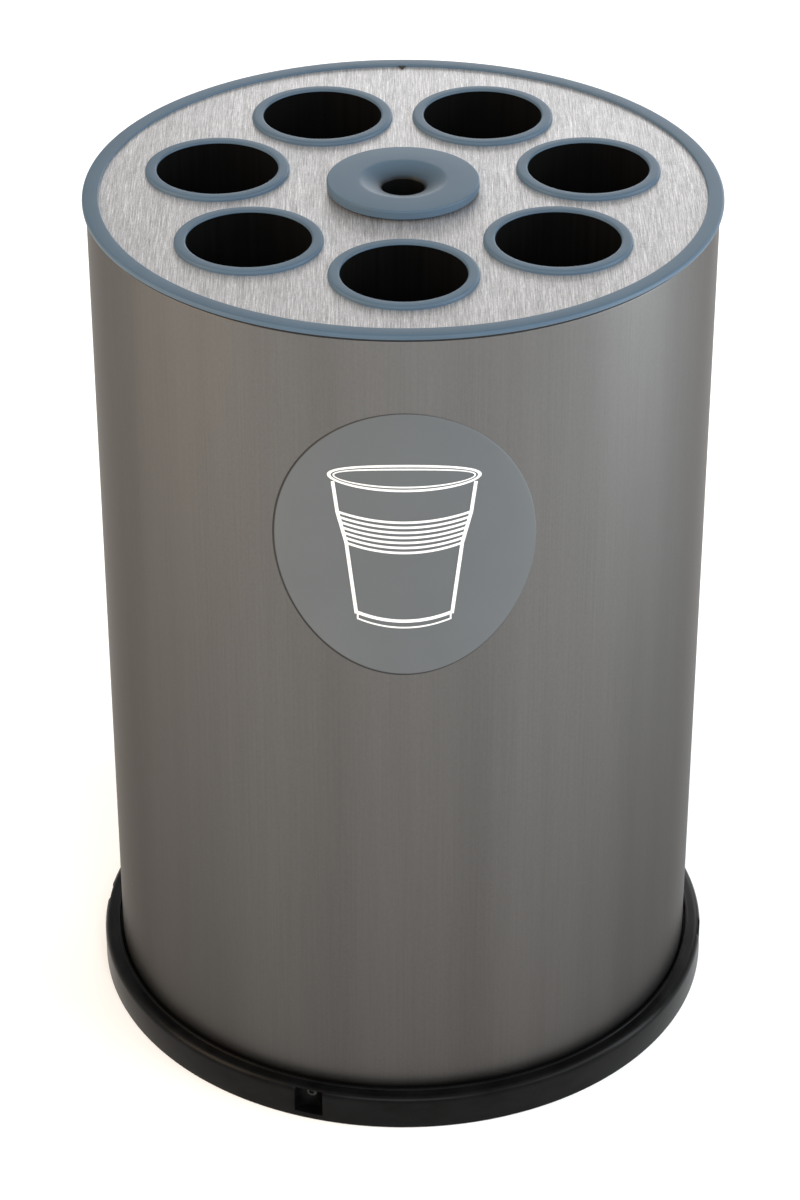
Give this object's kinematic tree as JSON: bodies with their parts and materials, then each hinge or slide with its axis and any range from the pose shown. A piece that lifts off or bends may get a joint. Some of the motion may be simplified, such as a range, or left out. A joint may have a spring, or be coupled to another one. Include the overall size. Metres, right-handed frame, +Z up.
{
  "type": "cup collector bin",
  "caption": "Round steel collector for used vending cups: lift-off lid with a ring of cup ports and tubes, a centre funnel, and a drip tray with a grid inside.",
  "frame": {"origin": "centre of the base, on the floor", "axes": "+Z up; the badge faces -Y; +X to the right of someone who faces the badge"},
  "size_m": [0.41, 0.41, 0.5754],
  "materials": {
    "shell_steel": "satin, very fine vertical grain",
    "plate_steel": "bright, coarse front-to-back brushing",
    "blue_grey_plastic": "smooth satin",
    "plinth_black": "moulded, semi-gloss",
    "tube_black": "matt",
    "badge_grey": "printed label, satin",
    "badge_white": "raised print",
    "seal_rubber": "matt",
    "panel_grey": "moulded board",
    "zinc_steel": "galvanised",
    "black_screw": "black coated",
    "tray_grey": "moulded, satin"
  },
  "bodies": {
    "stand": {"body_shell": "shell_steel", "base_ring": "plinth_black", "base_screws": "black_screw", "floor_disc": "zinc_steel", "top_hoop": "zinc_steel", "badge_plate": "badge_grey", "cup_pictogram": "badge_white"},
    "lid": {"lid_panel": "panel_grey", "brushed_plate": "plate_steel", "rim_trim": "blue_grey_plastic", "lid_seal": "seal_rubber", "port_ring_1": "blue_grey_plastic", "port_ring_2": "blue_grey_plastic", "port_ring_3": "blue_grey_plastic", "port_ring_4": "blue_grey_plastic", "port_ring_5": "blue_grey_plastic", "port_ring_6": "blue_grey_plastic", "port_ring_7": "blue_grey_plastic", "cup_tube_1": "tube_black", "cup_tube_2": "tube_black", "cup_tube_3": "tube_black", "cup_tube_4": "tube_black", "cup_tube_5": "tube_black", "cup_tube_6": "tube_black", "cup_tube_7": "tube_black", "port_nuts": "tube_black", "stirrer_tube": "tube_black", "stirrer_tube_screws": "zinc_steel", "guide_hub": "tube_black", "guide_hoop": "tube_black", "guide_spokes": "tube_black"},
    "funnel": {"funnel": "blue_grey_plastic"},
    "tray": {"tray_wall": "tray_grey", "tray_floor": "tray_grey"},
    "grid": {"drain_grid": "tray_grey"}
  },
  "joints": [
    {"name": "lid_lift", "type": "slide", "parent": "stand", "child": "lid", "axis": [0, 0, 1], "range_m": [0, 0.7]},
    {"name": "funnel_lift", "type": "slide", "parent": "lid", "child": "funnel", "axis": [0, 0, 1], "range_m": [0, 0.12]},
    {"name": "tray_lift", "type": "slide", "parent": "stand", "child": "tray", "axis": [0, 0, 1], "range_m": [0, 0.6]},
    {"name": "grid_lift", "type": "slide", "parent": "tray", "child": "grid", "axis": [0, 0, 1], "range_m": [0, 0.07]}
  ],
  "couplings": [
    {"joint": "tray_lift", "follows": "lid_lift", "ratio": 0.85},
    {"joint": "grid_lift", "follows": "lid_lift", "ratio": 0.1}
  ]
}
